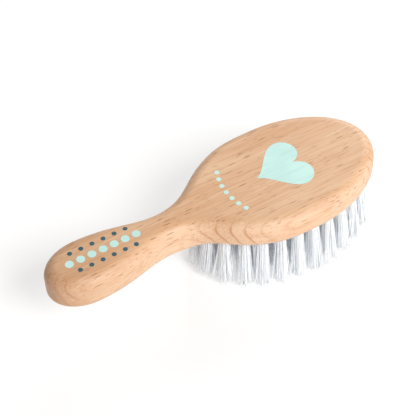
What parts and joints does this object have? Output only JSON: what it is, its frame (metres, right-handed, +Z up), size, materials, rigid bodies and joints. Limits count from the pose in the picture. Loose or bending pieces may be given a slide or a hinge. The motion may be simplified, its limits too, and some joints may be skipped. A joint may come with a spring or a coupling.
{
  "type": "bristle hairbrush",
  "caption": "Small wooden hairbrush with an oval head, a narrow neck, a rounded handle and fanned tufts of white nylon bristle",
  "frame": {"origin": "on the surface that the bristle tips stand on, under the middle of the overall length and width, bristle tips included", "axes": "+X from the handle end to the tip of the head, +Z up through the flat back of the brush, +Y completes the set"},
  "size_m": [0.1311, 0.0472, 0.0348],
  "materials": {
    "beech": "clear satin lacquer over fine straight grain",
    "nylon": "translucent white filament",
    "anchor_steel": "drawn flat wire",
    "mint_print": "thin opaque print",
    "teal_print": "thin opaque print"
  },
  "bodies": {
    "root": {"tuft_anchors": "anchor_steel", "tuft_ring1_01": "nylon", "tuft_ring1_02": "nylon", "tuft_ring1_03": "nylon", "tuft_ring1_04": "nylon", "tuft_ring1_05": "nylon", "tuft_ring1_06": "nylon", "tuft_ring1_07": "nylon", "tuft_ring1_08": "nylon", "tuft_ring1_09": "nylon", "tuft_ring1_10": "nylon", "tuft_ring1_11": "nylon", "tuft_ring1_12": "nylon", "tuft_ring1_13": "nylon", "tuft_ring1_14": "nylon", "tuft_ring1_15": "nylon", "tuft_ring1_16": "nylon", "tuft_ring1_17": "nylon", "tuft_ring1_18": "nylon", "tuft_ring1_19": "nylon", "tuft_ring1_20": "nylon", "tuft_ring1_21": "nylon", "tuft_ring1_22": "nylon", "tuft_ring1_23": "nylon", "tuft_ring1_24": "nylon", "tuft_ring1_25": "nylon", "tuft_ring2_01": "nylon", "tuft_ring2_02": "nylon", "tuft_ring2_03": "nylon", "tuft_ring2_04": "nylon", "tuft_ring2_05": "nylon", "tuft_ring2_06": "nylon", "tuft_ring2_07": "nylon", "tuft_ring2_08": "nylon", "tuft_ring2_09": "nylon", "tuft_ring2_10": "nylon", "tuft_ring2_11": "nylon", "tuft_ring2_12": "nylon", "tuft_ring2_13": "nylon", "tuft_ring2_14": "nylon", "tuft_ring2_15": "nylon", "tuft_ring2_16": "nylon", "tuft_ring2_17": "nylon", "tuft_ring3_01": "nylon", "tuft_ring3_02": "nylon", "tuft_ring3_03": "nylon", "tuft_ring3_04": "nylon", "tuft_ring3_05": "nylon", "tuft_ring3_06": "nylon", "tuft_ring3_07": "nylon", "tuft_ring3_08": "nylon", "tuft_ring3_09": "nylon", "tuft_ring3_10": "nylon", "tuft_ring3_11": "nylon", "tuft_row_01": "nylon", "tuft_row_02": "nylon", "tuft_row_03": "nylon", "tuft_row_04": "nylon", "wooden_body": "beech"}
  },
  "joints": []
}
